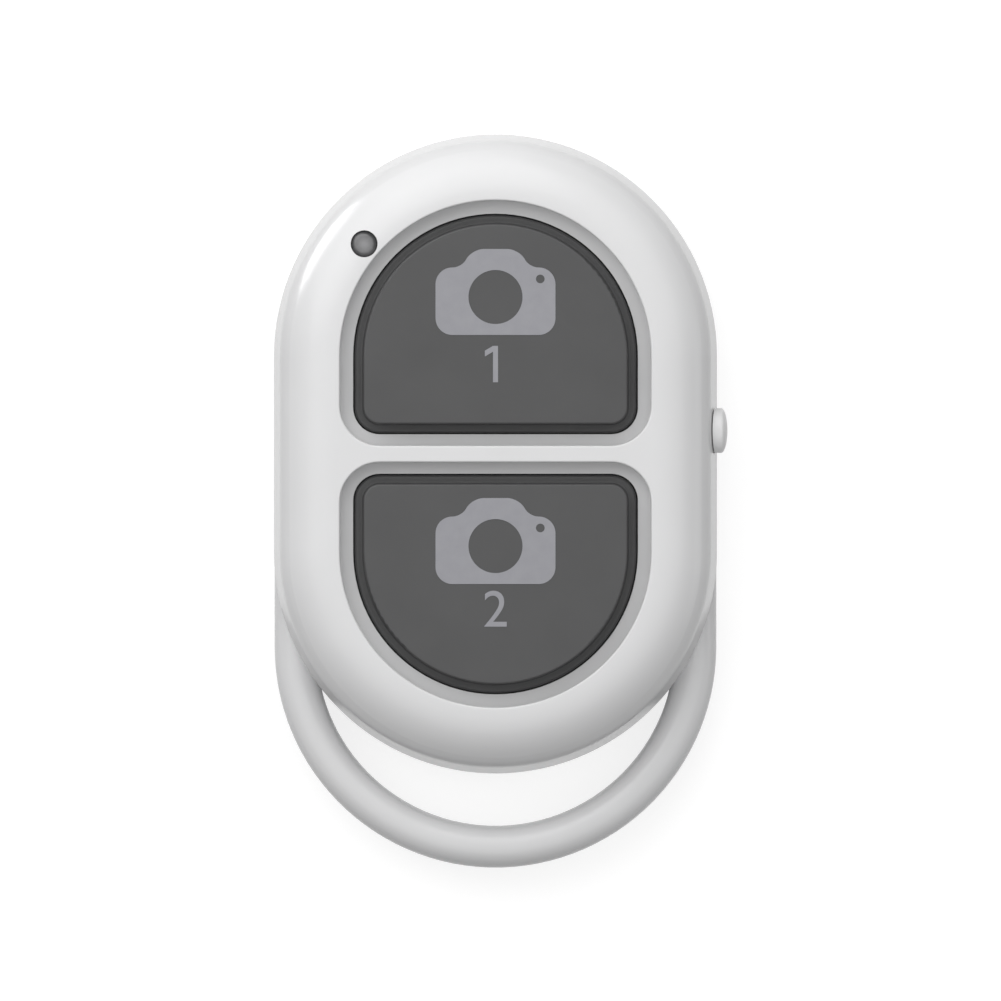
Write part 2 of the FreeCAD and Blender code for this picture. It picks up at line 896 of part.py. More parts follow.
def capacitors():
    """Ceramic capacitors on two sides of the radio chip, and a large one by the antenna."""
    clear = radio_chip_size / 2 + chip_part_gap + chip_part_length / 2
    beside = chip_row(4, radio_chip_x - clear, middle_y, False, capacitor_height)
    above = chip_row(4, radio_chip_x, middle_y + clear, True, capacitor_height)
    size = (large_capacitor_scale * s for s in (chip_part_length, chip_part_width, capacitor_height))
    large = chip_part(feed_x, feed_y, *size)
    return Part.makeCompound([*beside, *above, large])


def resistors():
    """Chip resistors for the light, the power switch and the antenna's feed."""
    light_gap = emitter_width / 2 + chip_part_gap + chip_part_length
    light = chip_row(2, light_x + light_gap, light_y - light_gap, True, resistor_height)
    power = chip_row(3, resistor_x, power_y, False, resistor_height)
    feed = chip_part(-feed_x, feed_y, chip_part_length, chip_part_width, resistor_height)
    return Part.makeCompound([*light, *power, feed])


# Coin cell and its contacts


def battery_can():
    """Positive steel can of the coin cell with its contents, open at the seal."""
    rim = battery_top - battery_step
    body = post(battery_radius, 0, battery_y, battery_bottom, rim)
    rounded = edges_at(body, battery_bottom) + edges_at(body, rim)
    body = body.makeFillet(battery_edge_round, rounded)
    mouth = battery_cap_radius + battery_seal_width
    return body.cut(post(mouth, 0, battery_y, battery_top - battery_cap_height, battery_top))


def battery_seal():
    """Plastic ring between the can and the lid."""
    low, high = battery_top - battery_cap_height, battery_top - battery_seal_drop
    ring = post(battery_cap_radius + battery_seal_width, 0, battery_y, low, high)
    return ring.cut(post(battery_cap_radius, 0, battery_y, low, high))


def battery_cap():
    """Negative lid of the coin cell."""
    lid = post(battery_cap_radius, 0, battery_y, battery_top - battery_cap_height, battery_top)
    return lid.makeFillet(battery_cap_round, edges_at(lid, battery_top))


def negative_contact():
    """Sprung finger soldered under the board, with its bend on the battery's lid."""
    t = contact_thickness
    root = finger_bend + finger_run
    foot_end = root + contact_foot
    outline = [
        (foot_end, board_bottom),
        (root, board_bottom),
        (finger_bend, battery_top + t),
        (-finger_bend, battery_top + 2 * t),
        (-finger_bend, battery_top + t),
        (finger_bend, battery_top),
        (root, board_bottom - t),
        (foot_end, board_bottom - t),
    ]
    points = [Vector(-contact_width / 2, battery_y + y, z) for y, z in outline]
    face = Part.Face(Part.makePolygon([*points, points[0]]))
    return face.extrude(Vector(contact_width, 0, 0))


def positive_contact():
    """Strip soldered under the board that hangs down and bears on the battery's rim."""
    t = contact_thickness
    y_range = spread(battery_y, contact_width)
    leg_x = -battery_radius - leg_ridge_radius
    foot = block((leg_x - contact_foot, leg_x), y_range, (board_bottom - t, board_bottom))
    leg = block((leg_x - t, leg_x), y_range, (battery_bottom + leg_tip_height, board_bottom))
    ridge_start = Vector(leg_x, y_range[0], battery_bottom + leg_ridge_height)
    ridge = Part.makeCylinder(leg_ridge_radius, contact_width, ridge_start, Vector(0, 1, 0))
    ridge = ridge.common(block((leg_x, -battery_radius), y_range, (battery_bottom, battery_top)))
    return joined(foot, [leg, ridge])


# Battery door


def battery_door():
    """Sliding cover flush with the back, running off past the light end on side rails."""
    plan = block(spread(0, door_width), (door_start, overall_length), (-past, door_thickness))
    rail_z = (rail_bottom, rail_bottom + rail_thickness)
    tongues = []
    for start in (door_start, door_start + rail_spacing):
        x_range = spread(0, door_width + 2 * rail_reach)
        tongues.append(block(x_range, (start, start + rail_length), rail_z))
    hook_y = (door_start - hook_reach, door_start + hook_reach)
    tongues.append(block(spread(0, hook_width), hook_y, rail_z))
    grips = []
    for step in range(grip_count):
        y = door_start + grip_start + step * grip_pitch
        grips.append(block(spread(0, grip_length), (y, y + grip_width), (-past, grip_depth)))
    return lower_outside().common(plan).fuse(tongues).cut(grips).removeSplitter()


# Case screws


def case_screws():
    """Two self-tapping screws under the battery door."""
    head_z = screw_seat_z - screw_head_height
    slot_z = (head_z, head_z + screw_slot_depth)
    screws = []
    for x, y in screw_places():
        head = post(screw_head_radius, x, y, head_z, screw_seat_z)
        head = head.makeFillet(screw_head_round, edges_at(head, head_z))
        screw = joined(head, [post(screw_radius, x, y, screw_seat_z, board_top + screw_bite)])
        along = block(spread(x, screw_slot_length), spread(y, screw_slot_width), slot_z)
        across = block(spread(x, screw_slot_width), spread(y, screw_slot_length), slot_z)
        screws.append(screw.cut([along, across]))
    return Part.makeCompound(screws)


parts = {
    "front_shell": front_shell(),
    "back_shell": back_shell(),
    "battery_door": battery_door(),
    "circuit_board": circuit_board(),
    "antenna_trace": antenna(),
    "radio_chip": radio_chip(),
    "memory_chip": memory_chip(),
    "crystal": crystal(),
    "capacitors": capacitors(),
    "resistors": resistors(),
    "light_emitter": light_emitter(),
    "light_pipe": light_pipe(),
    "press_switch_feet": switch_feet(),
    "power_switch_can": power_can(),
    "power_switch_base": power_base(),
    "power_switch_legs": power_legs(),
    "power_switch_slider": power_slider(),
    "power_switch_wiper": power_wiper(),
    "power_knob": power_knob(),
    "battery_can": battery_can(),
    "battery_seal": battery_seal(),
    "battery_cap": battery_cap(),
    "negative_contact": negative_contact(),
    "positive_contact": positive_contact(),
    "case_screws": case_screws(),
}
for end, side in (("upper", 1), ("lower", -1)):
    parts[f"{end}_button"] = button_cap(side)
    parts[f"{end}_switch_base"] = switch_base(side)
    parts[f"{end}_switch_cover"] = switch_cover(side)
    parts[f"{end}_snap_dome"] = snap_dome(side)
    parts[f"{end}_plunger"] = plunger(side)

os.makedirs("parts", exist_ok=True)
for name, shape in parts.items():
    solids = shape.Solids
    if not solids or not shape.isValid() or any(solid.Volume <= 0 for solid in solids):
        raise ValueError(f"{name} isn't made of sound solids")
    shape.exportStep(f"parts/{name}.step")
    print(f"{name}: {len(solids)} solids, {shape.Volume:.2f} mm3")
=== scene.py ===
import math

import bpy
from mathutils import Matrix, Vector


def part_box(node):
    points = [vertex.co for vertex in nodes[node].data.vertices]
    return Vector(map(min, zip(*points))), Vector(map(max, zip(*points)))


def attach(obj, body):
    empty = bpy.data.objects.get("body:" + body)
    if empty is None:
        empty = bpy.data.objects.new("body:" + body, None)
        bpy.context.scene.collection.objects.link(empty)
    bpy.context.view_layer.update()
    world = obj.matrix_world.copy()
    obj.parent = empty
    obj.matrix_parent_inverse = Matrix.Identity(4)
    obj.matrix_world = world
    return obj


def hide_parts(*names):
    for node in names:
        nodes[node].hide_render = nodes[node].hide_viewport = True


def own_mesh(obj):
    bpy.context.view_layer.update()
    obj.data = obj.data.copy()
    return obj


# A wireless shutter remote for a phone camera, lying on its back with its two buttons up.
# The sections follow the remote as it is put together, from the back half of its case to the
# battery door, and end with the studio around it. All sizes are metres in the part's own frame.
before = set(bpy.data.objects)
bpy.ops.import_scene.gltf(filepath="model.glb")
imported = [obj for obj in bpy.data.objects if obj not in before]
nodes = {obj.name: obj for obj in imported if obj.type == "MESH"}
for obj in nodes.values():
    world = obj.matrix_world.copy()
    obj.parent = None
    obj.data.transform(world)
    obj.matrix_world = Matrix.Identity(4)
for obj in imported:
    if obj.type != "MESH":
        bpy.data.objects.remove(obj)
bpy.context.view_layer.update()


# Back half of the case, one glossy white moulding with its carrying loop. The mould is polished
# steel, so the skin is smooth, with a faint ripple from the flow of the melt. The face that it
# rests on has fine scuffs from sliding on tables.


def new_finish(name, colour, roughness=0.5, metallic=0, specular=0.5):
    """Material whose Principled shader has these values, with its node tree and shader."""
    material = bpy.data.materials.new(name)
    material.use_nodes = True
    shader = material.node_tree.nodes["Principled BSDF"]
    shader.inputs["Base Color"].default_value = (*colour, 1)
    shader.inputs["Roughness"].default_value = roughness
    shader.inputs["Metallic"].default_value = metallic
    shader.inputs["Specular IOR Level"].default_value = specular
    return material, material.node_tree, shader


def grain(tree, size, detail=2, stretch=(1, 1, 1)):
    """Height of a noise whose lumps measure size in metres, each axis drawn out by stretch."""
    place = tree.nodes.new("ShaderNodeTexCoord")
    mapping = tree.nodes.new("ShaderNodeMapping")
    mapping.inputs["Scale"].default_value = [1 / (size * share) for share in stretch]
    noise = tree.nodes.new("ShaderNodeTexNoise")
    noise.inputs["Scale"].default_value = 1
    noise.inputs["Detail"].default_value = detail
    tree.links.new(place.outputs["Object"], mapping.inputs["Vector"])
    tree.links.new(mapping.outputs["Vector"], noise.inputs["Vector"])
    return noise.outputs["Fac"]


def spread_over(tree, height, low, high, start=0.3, end=0.7):
    """Value that goes from low to high as the height goes from start to end."""
    scale = tree.nodes.new("ShaderNodeMapRange")
    scale.inputs["From Min"].default_value = start
    scale.inputs["From Max"].default_value = end
    scale.inputs["To Min"].default_value = low
    scale.inputs["To Max"].default_value = high
    tree.links.new(height, scale.inputs["Value"])
    return scale.outputs["Result"]


def reckon(tree, operation, *terms):
    """Result of a sum on these terms, each a number or a socket."""
    node = tree.nodes.new("ShaderNodeMath")
    node.operation = operation
    for term, socket in zip(terms, node.inputs):
        if isinstance(term, (int, float)):
            socket.default_value = term
        else:
            tree.links.new(term, socket)
    return node.outputs[0]


def place_of(tree):
    """The x, y and z sockets of a point's place in the remote, in metres."""
    place = tree.nodes.new("ShaderNodeTexCoord")
    split = tree.nodes.new("ShaderNodeSeparateXYZ")
    tree.links.new(place.outputs["Object"], split.inputs[0])
    return split.outputs


def tint(tree, shader, height, dark, light, start=0.3, end=0.7):
    """Base colour that drifts from dark to light with the height."""
    ramp = tree.nodes.new("ShaderNodeValToRGB")
    ramp.color_ramp.elements[0].position = start
    ramp.color_ramp.elements[1].position = end
    ramp.color_ramp.elements[0].color = (*dark, 1)
    ramp.color_ramp.elements[1].color = (*light, 1)
    tree.links.new(height, ramp.inputs["Fac"])
    tree.links.new(ramp.outputs["Color"], shader.inputs["Base Color"])


def darken(tree, shader, share):
    """Brings the base colour down to this share of its brightness."""
    shaded = tree.nodes.new("ShaderNodeHueSaturation")
    tree.links.new(share, shaded.inputs["Value"])
    tree.links.new(shader.inputs["Base Color"].links[0].from_socket, shaded.inputs["Color"])
    tree.links.new(shaded.outputs["Color"], shader.inputs["Base Color"])


def relief(tree, shader, height, depth):
    """Bump of the given depth in metres, laid over the bump that the shader already has."""
    bump = tree.nodes.new("ShaderNodeBump")
    bump.inputs["Distance"].default_value = depth
    normal = shader.inputs["Normal"]
    if normal.is_linked:
        tree.links.new(normal.links[0].from_socket, bump.inputs["Normal"])
    tree.links.new(height, bump.inputs["Height"])
    tree.links.new(bump.outputs["Normal"], normal)


def uneven_gloss(tree, shader, height, low, high):
    """Roughness that drifts from low to high with the height."""
    tree.links.new(spread_over(tree, height, low, high), shader.inputs["Roughness"])


def moulded(name, dark, light, roughness, texture, depth, specular=0.5):
    """Moulded plastic: clouded colour, uneven gloss, melt ripple and the mould's own texture."""
    material, tree, shader = new_finish(name, light, specular=specular)
    tint(tree, shader, grain(tree, size=0.006, detail=3), dark, light)
    patches = grain(tree, size=0.0009, detail=4)
    uneven_gloss(tree, shader, patches, roughness - 0.01, roughness + 0.02)
    relief(tree, shader, grain(tree, size=0.005, detail=1), depth=0.000006)
    relief(tree, shader, grain(tree, texture), depth)
    return material


def dress(material, *names):
    """Gives the named nodes of the frame this material."""
    for name in names:
        slots = nodes[name].material_slots
        if not slots:
            nodes[name].data.materials.append(material)
        for slot in slots:
            slot.material = material


white_resin = {
    "dark": (0.755, 0.755, 0.76),
    "light": (0.77, 0.77, 0.775),
    "roughness": 0.21,
    "texture": 0.00015,
    "depth": 0.0000003,
    "specular": 0.35,
}
scuff_low = 0.00005
scuff_high = 0.0003
scuff_width = 0.00016
scuff_stretch = (1, 20, 1)
scuff_dullness = 0.2
scuff_shade = 0.88

case_white = moulded("case_white", **white_resin)
tree = case_white.node_tree
shader = tree.nodes["Principled BSDF"]
rested = spread_over(tree, place_of(tree)["Z"], 1, 0, start=scuff_low, end=scuff_high)
streaks = grain(tree, scuff_width, stretch=scuff_stretch)
lines = spread_over(tree, streaks, 0, 1, start=0.57, end=0.66)
worn = reckon(tree, "MULTIPLY", rested, lines)
darken(tree, shader, spread_over(tree, worn, 1, scuff_shade, start=0, end=1))
gloss = shader.inputs["Roughness"].links[0].from_socket
dulled = reckon(tree, "MULTIPLY_ADD", worn, scuff_dullness, gloss)
tree.links.new(dulled, shader.inputs["Roughness"])
dress(case_white, "back_shell")


# Circuit board: green solder mask over woven glass, with bare copper folded to and fro into the
# antenna at its loop end. Posts of the two case halves pinch it.
weave_pitch = 0.0003
weave_depth = 0.000006

mask_green, tree, shader = new_finish("mask_green", (0.02, 0.13, 0.06), roughness=0.32)
clouds = grain(tree, size=0.0025, detail=4)
tint(tree, shader, clouds, dark=(0.012, 0.095, 0.042), light=(0.025, 0.15, 0.07))
relief(tree, shader, grain(tree, weave_pitch, detail=0, stretch=(4, 0.5, 1)), weave_depth)
relief(tree, shader, grain(tree, weave_pitch, detail=0, stretch=(0.5, 4, 1)), weave_depth)
dress(mask_green, "circuit_board")

bare_copper, tree, shader = new_finish("bare_copper", (0.80, 0.42, 0.25), roughness=0.3, metallic=1)
stains = grain(tree, size=0.0012, detail=4)
tint(tree, shader, stains, dark=(0.62, 0.29, 0.17), light=(0.86, 0.48, 0.30))
relief(tree, shader, grain(tree, size=0.00008), depth=0.000002)
dress(bare_copper, "antenna_trace")


# Radio chip and its settings memory: black epoxy pressed round a metal frame, dull and faintly
# sparkling with its filler. Both are soldered to the upper side of the board.
epoxy_black = moulded(
    "epoxy_black",
    dark=(0.010, 0.010, 0.011),
    light=(0.020, 0.020, 0.021),
    roughness=0.55,
    texture=0.00005,
    depth=0.000004,
)
dress(epoxy_black, "radio_chip", "memory_chip")


# Clock crystal beside the radio chip, sealed in a can with a nickel-plated lid. The lid is
# brushed along its length, and the can is soldered to the board.
nickel_can, tree, shader = new_finish("nickel_can", (0.66, 0.64, 0.60), roughness=0.28, metallic=1)
stains = grain(tree, size=0.0008, detail=3)
tint(tree, shader, stains, dark=(0.58, 0.56, 0.53), light=(0.70, 0.68, 0.64))
relief(tree, shader, grain(tree, size=0.00004, stretch=(30, 1, 1)), depth=0.000002)
dress(nickel_can, "crystal")


# Chip capacitors of tan ceramic and chip resistors of black glaze. Each is fired in one piece
# and soldered to the board at both ends.
ceramic_tan = moulded(
    "ceramic_tan",
    dark=(0.30, 0.20, 0.12),
    light=(0.40, 0.28, 0.18),
    roughness=0.45,
    texture=0.00006,
    depth=0.000004,
)
dress(ceramic_tan, "capacitors")
glaze_black = moulded(
    "glaze_black",
    dark=(0.012, 0.013, 0.016),
    light=(0.03, 0.032, 0.036),
    roughness=0.25,
    texture=0.0001,
    depth=0.000003,
)
dress(glaze_black, "resistors")


# Press switches, one under each button: a moulded base soldered by its feet, a steel dome that
# snaps, and a black plunger that a stamped steel cover holds.
dome_thickness = 0.00008
dome_segments = 48
dome_rings = 64
dome_crease = math.radians(40)

nylon_black = moulded(
    "nylon_black",
    dark=(0.014, 0.014, 0.015),
    light=(0.028, 0.028, 0.03),
    roughness=0.42,
    texture=0.00007,
    depth=0.000003,
)
dress(nylon_black, "upper_switch_base", "lower_switch_base", "upper_plunger", "lower_plunger")

stamped_steel, tree, shader = new_finish(
    "stamped_steel", (0.58, 0.57, 0.55), roughness=0.33, metallic=1
)
stains = grain(tree, size=0.0015, detail=4)
tint(tree, shader, stains, dark=(0.50, 0.49, 0.475), light=(0.62, 0.61, 0.59))
uneven_gloss(tree, shader, grain(tree, size=0.0004, detail=3), low=0.27, high=0.42)
relief(tree, shader, grain(tree, size=0.00003, stretch=(1, 25, 1)), depth=0.000002)
dress(stamped_steel, "upper_switch_cover", "lower_switch_cover", "power_switch_can")


def copy_of(piece, name, step):
    """Copy of a piece with a mesh of its own, moved by this step."""
    double = piece.copy()
    double.data = piece.data.copy()
    double.name = name
    bpy.context.collection.objects.link(double)
    double.location = step
    bpy.ops.object.select_all(action="DESELECT")
    double.select_set(True)
    bpy.context.view_layer.objects.active = double
    bpy.ops.object.transform_apply(location=True, rotation=True, scale=True)
    return double


dome_low, dome_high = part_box("upper_snap_dome")
dome_middle = (dome_low + dome_high) / 2
dome_reach = (dome_high.x - dome_low.x) / 2
dome_rise = dome_high.z - dome_low.z
ball_radius = (dome_reach**2 + dome_rise**2) / (2 * dome_rise)
ball_place = (dome_middle.x, dome_middle.y, dome_high.z - ball_radius)

# The dome is the cap of one ball within another, and the two caps are joined along their rims.
# Bisect stops at the rings of vertices nearest the plane, 0.05 and 0.07 mm below the foot.
bpy.ops.object.select_all(action="DESELECT")
bpy.ops.mesh.primitive_uv_sphere_add(
    segments=dome_segments, ring_count=dome_rings, radius=ball_radius, location=ball_place
)
upper_dome = bpy.context.active_object
upper_dome.name = "upper_dome"
bpy.ops.object.transform_apply(location=True, rotation=True, scale=True)
bpy.ops.object.mode_set(mode="EDIT")
bpy.ops.mesh.primitive_uv_sphere_add(
    segments=dome_segments,
    ring_count=dome_rings,
    radius=ball_radius - dome_thickness,
    location=ball_place,
)
bpy.ops.mesh.select_all(action="SELECT")
bpy.ops.mesh.bisect(plane_co=(0, 0, dome_low.z), plane_no=(0, 0, 1), clear_inner=True)
bpy.ops.mesh.select_mode(type="EDGE")
bpy.ops.mesh.select_all(action="DESELECT")
bpy.ops.mesh.select_non_manifold(
    use_wire=False, use_multi_face=False, use_non_contiguous=False, use_verts=False
)
bpy.ops.mesh.bridge_edge_loops()
bpy.ops.mesh.select_all(action="SELECT")
bpy.ops.mesh.normals_make_consistent(inside=False)
bpy.ops.object.mode_set(mode="OBJECT")
bpy.ops.object.shade_smooth_by_angle(angle=dome_crease)
upper_dome.data.materials.append(stamped_steel)
lower_dome = copy_of(upper_dome, "lower_dome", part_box("lower_snap_dome")[0] - dome_low)

for side, dome in (("upper", upper_dome), ("lower", lower_dome)):
    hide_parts(f"{side}_snap_dome")
    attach(dome, "housing")
    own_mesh(dome)

solder_tin, tree, shader = new_finish("solder_tin", (0.70, 0.70, 0.69), roughness=0.22, metallic=1)
stains = grain(tree, size=0.0005, detail=4)
tint(tree, shader, stains, dark=(0.56, 0.56, 0.55), light=(0.76, 0.76, 0.75))
uneven_gloss(tree, shader, grain(tree, size=0.0003, detail=3), low=0.16, high=0.38)
relief(tree, shader, grain(tree, size=0.00015, detail=3), depth=0.000012)
dress(solder_tin, "press_switch_feet", "power_switch_legs")


# Power switch, soldered to the board beside the side wall: a steel can on a moulded base, a
# slider inside it, and a gilt wiper under the slider that bridges two of the fixed contacts.
dress(nylon_black, "power_switch_base", "power_switch_slider")
gilt_bronze, tree, shader = new_finish(
    "gilt_bronze", (0.86, 0.63, 0.30), roughness=0.24, metallic=1
)
stains = grain(tree, size=0.0006, detail=4)
tint(tree, shader, stains, dark=(0.74, 0.52, 0.24), light=(0.90, 0.68, 0.34))
relief(tree, shader, grain(tree, size=0.00003, stretch=(1, 20, 1)), depth=0.000002)
dress(gilt_bronze, "power_switch_wiper")


# Knob of the power switch, a domed oval moulded in the case's white but a little duller from
# handling. It is pushed on the slider's tongue, which comes out through a slot in the side.
knob_white = moulded(
    "knob_white",
    dark=(0.765, 0.765, 0.77),
    light=(0.80, 0.80, 0.80),
    roughness=0.34,
    texture=0.0001,
    depth=0.0000008,
)
dress(knob_white, "power_knob")


# Battery contacts: strips of nickel-plated spring steel, stamped and bent, that are soldered
# under the board. One presses on the cell's lid and one on its side.
dress(stamped_steel, "negative_contact", "positive_contact")


# Status light: a smoky polycarbonate pipe pushed up into the face. The emitter under it, pale
# yellow with phosphor, shows through as a lighter spot in its middle.


def distance_of(tree, across, along):
    """How far a level step leads that goes this far across and this far along."""
    squares = reckon(tree, "MULTIPLY_ADD", across, across, reckon(tree, "MULTIPLY", along, along))
    return reckon(tree, "SQRT", squares)


emitter_shine = 0.00075
cloudiness = 0.3
pipe_low, pipe_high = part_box("light_pipe")
pipe_middle = (pipe_low + pipe_high) / 2

smoky_lens, tree, shader = new_finish("smoky_lens", (0.2, 0.2, 0.2), roughness=0.25)
place = place_of(tree)
across = reckon(tree, "SUBTRACT", place["X"], pipe_middle.x)
along = reckon(tree, "SUBTRACT", place["Y"], pipe_middle.y)
glimmer = spread_over(tree, distance_of(tree, across, along), 1, 0, start=0, end=emitter_shine)
specks = grain(tree, size=0.0003, detail=3)
clouded = reckon(tree, "MULTIPLY_ADD", specks, cloudiness, glimmer)
smoke = {"dark": (0.095, 0.095, 0.097), "light": (0.24, 0.24, 0.245)}
tint(tree, shader, clouded, **smoke, start=0.1, end=1)
relief(tree, shader, grain(tree, size=0.0001), depth=0.000003)
dress(smoky_lens, "light_pipe")

phosphor = moulded(
    "phosphor",
    dark=(0.62, 0.55, 0.20),
    light=(0.78, 0.72, 0.42),
    roughness=0.5,
    texture=0.00005,
    depth=0.000004,
)
dress(phosphor, "light_emitter")


# Face half of the case, in the same white with two D-shaped pockets sunk in it. It closes on
# the back half with a lip and snaps. The sunk floors of the pockets are greyed with painted shade.
pocket_radius = 0.01111
pocket_edge = 0.0002
pocket_shadow_share = 0.86
shadow_floor = 0.0097
shadow_top = 0.0108

face_low, face_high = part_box("front_shell")
face_length = face_high.y - face_low.y
face_width = face_high.x - face_low.x
face_middle_y = (face_low.y + face_high.y) / 2
centre_reach = (face_length - face_width) / 2

face_white = moulded("face_white", **white_resin)
tree = face_white.node_tree
shader = tree.nodes["Principled BSDF"]
x, y, z = place_of(tree)
from_middle = reckon(tree, "ABSOLUTE", reckon(tree, "SUBTRACT", y, face_middle_y))
past_centre = reckon(tree, "MAXIMUM", reckon(tree, "SUBTRACT", from_middle, centre_reach), 0)
radius = distance_of(tree, x, past_centre)
inside = spread_over(tree, radius, 1, 0, start=pocket_radius, end=pocket_radius + pocket_edge)
sunk = spread_over(tree, z, 1, 0, start=shadow_floor, end=shadow_top)
pocket_shadow = reckon(tree, "MULTIPLY", inside, sunk)
# Painted shade: the colour is darkened inside the pockets, below the face, where shade falls.
darken(tree, shader, spread_over(tree, pocket_shadow, 1, pocket_shadow_share, start=0, end=1))
dress(face_white, "front_shell")


# Two D-shaped shutter buttons, hollow grey mouldings with a finely etched matt skin. Each
# stands half a millimetre proud of the face and is held under the ledge by its flange. The low
# border and the rounded edge of the top are darkened with painted shade.
border_painted_shade = 0.78
crown_edge = 0.01143
crown_top = 0.0115

button_grey = moulded(
    "button_grey",
    dark=(0.072, 0.072, 0.073),
    light=(0.080, 0.080, 0.081),
    roughness=0.5,
    texture=0.00009,
    depth=0.000002,
    specular=0.3,
)
tree = button_grey.node_tree
shader = tree.nodes["Principled BSDF"]
height = place_of(tree)["Z"]
# Painted shade: the colour is darkened below the rounded edge of the top, most on the low border.
darken(tree, shader, spread_over(tree, height, border_painted_shade, 1, start=crown_edge, end=crown_top))
dress(button_grey, "upper_button", "lower_button")


# Camera mark and numeral on each button, pad-printed in a light grey ink a few hundredths of a
# millimetre thick. The mark is a plain rounded body with a viewfinder hump, a round lens and a
# small lamp dot, both left bare.
button_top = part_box("upper_button")[1].z
ink_thickness = 0.00003
ink_sunk = 0.00002
ink_layer = ink_thickness + ink_sunk
ink_middle = button_top + (ink_thickness - ink_sunk) / 2
upper_mark_y = 0.01428
lower_mark_y = -0.00351
mark_width = 0.00857
mark_height = 0.00482
mark_corner = 0.0012
hump_width = 0.0049
hump_height = 0.00132
hump_taper = 0.67
hump_shoulder = 0.0008
hump_foot = 0.0006
lens_radius = 0.00193
lens_rise = 0.0003
dot_radius = 0.00031
dot_across = 0.0032
dot_rise = 0.00159
round_segments = 12
hole_sides = 72
drill_length = 0.002
tolerance = 0.0001
upper_numeral_y = 0.00979
lower_numeral_y = -0.00785
numeral_height = 0.0026
digit_share = 0.7
stroke = 0.00036
flag_depth = 0.00042
flag_run = (-0.00058, -0.00034, 0)

pad_ink, tree, shader = new_finish("pad_ink", (0.29, 0.29, 0.315), roughness=0.5)
clouds = grain(tree, size=0.0009, detail=4)
tint(tree, shader, clouds, dark=(0.280, 0.280, 0.303), light=(0.30, 0.30, 0.323))
relief(tree, shader, grain(tree, size=0.00012, detail=3), depth=0.000003)


def block(name, width, height, thickness, middle):
    """Upright block of this size about its middle, as a new piece."""
    bpy.ops.object.select_all(action="DESELECT")
    bpy.ops.mesh.primitive_cube_add(size=1, location=middle)
    piece = bpy.context.active_object
    piece.name = name
    piece.scale = (width, height, thickness)
    bpy.ops.object.transform_apply(location=True, rotation=True, scale=True)
    return piece


def pick(piece, kind, wanted):
    """Selects in edit mode the faces or edges of the piece for which wanted is true."""
    bpy.ops.mesh.select_mode(type=kind)
    bpy.ops.mesh.select_all(action="DESELECT")
    bpy.ops.object.mode_set(mode="OBJECT")
    for part in {"FACE": piece.data.polygons, "EDGE": piece.data.edges}[kind]:
        part.select = wanted(part)
    bpy.ops.object.mode_set(mode="EDIT")


def middle_of(piece, part):
    """Mean place of the vertices of a face or edge of the piece."""
    corners = [piece.data.vertices[i].co for i in part.vertices]
    return sum(corners[1:], corners[0].copy()) / len(corners)


def looks(face, way):
    """True for a face that looks this way."""
    return face.normal.dot(Vector(way)) > 0.9


def stands_up(piece, edge):
    """True for an edge that runs from the foot of a thin flat piece to its top."""
    ends = [piece.data.vertices[i].co for i in edge.vertices]
    level = math.hypot(ends[0].x - ends[1].x, ends[0].y - ends[1].y)
    return abs(ends[0].z - ends[1].z) > level


def drill(piece, radius, x, y):
    """Makes a round hole down through the piece."""
    bpy.ops.mesh.primitive_cylinder_add(
        vertices=hole_sides, radius=radius, depth=drill_length, location=(x, y, button_top)
    )
    cutter = bpy.context.active_object
    hole = piece.modifiers.new("hole", "BOOLEAN")
    hole.object = cutter
    hole.operation = "DIFFERENCE"
    bpy.ops.object.select_all(action="DESELECT")
    bpy.context.view_layer.objects.active = piece
    piece.select_set(True)
    bpy.ops.object.modifier_apply(modifier=hole.name)
    bpy.data.objects.remove(cutter)


mark_place = (0, upper_mark_y, ink_middle)
body_top = upper_mark_y + mark_height / 2
upper_mark = block("upper_mark", mark_width, mark_height, ink_layer, mark_place)


def under_hump(face):
    """True for the stretch of the body's top side that the hump grows from."""
    return looks(face, (0, 1, 0)) and abs(middle_of(upper_mark, face).x) < hump_width / 4


def at_side(edge):
    """True for the upright edges at the body's four corners."""
    outer = abs(middle_of(upper_mark, edge).x) > mark_width / 2 - tolerance
    return outer and stands_up(upper_mark, edge)


def on_hump(edge):
    """True for the upright edges at the top of the hump."""
    high = middle_of(upper_mark, edge).y > body_top + hump_height / 2
    return high and stands_up(upper_mark, edge)


def at_foot(edge):
    """True for the upright edges where the hump meets the body."""
    middle = middle_of(upper_mark, edge)
    beside = abs(abs(middle.x) - hump_width / 2) < tolerance
    return beside and abs(middle.y - body_top) < tolerance and stands_up(upper_mark, edge)


bpy.ops.object.mode_set(mode="EDIT")
for side in (-1, 1):
    bpy.ops.mesh.select_all(action="SELECT")
    bpy.ops.mesh.bisect(plane_co=(side * hump_width / 2, 0, 0), plane_no=(1, 0, 0))
pick(upper_mark, "FACE", under_hump)
bpy.ops.mesh.extrude_region_move(TRANSFORM_OT_translate={"value": (0, hump_height, 0)})
bpy.ops.transform.resize(value=(hump_taper, 1, 1), center_override=mark_place)
for wanted, rounding in ((at_side, mark_corner), (on_hump, hump_shoulder), (at_foot, hump_foot)):
    pick(upper_mark, "EDGE", wanted)
    bpy.ops.mesh.bevel(offset=rounding, segments=round_segments)
bpy.ops.object.mode_set(mode="OBJECT")
drill(upper_mark, lens_radius, 0, upper_mark_y + lens_rise)
drill(upper_mark, dot_radius, dot_across, upper_mark_y + dot_rise)
lower_mark = copy_of(upper_mark, "lower_mark", (0, lower_mark_y - upper_mark_y, 0))

# The figure one is a bar with a slanted flag drawn out of its top left.
bar_place = (0, upper_numeral_y, ink_middle)
flag_low = upper_numeral_y + numeral_height / 2 - flag_depth
upper_numeral = block("upper_numeral", stroke, numeral_height, ink_layer, bar_place)


def beside_flag(face):
    """True for the stretch of the bar's left side that the flag grows from."""
    return looks(face, (-1, 0, 0)) and middle_of(upper_numeral, face).y > flag_low


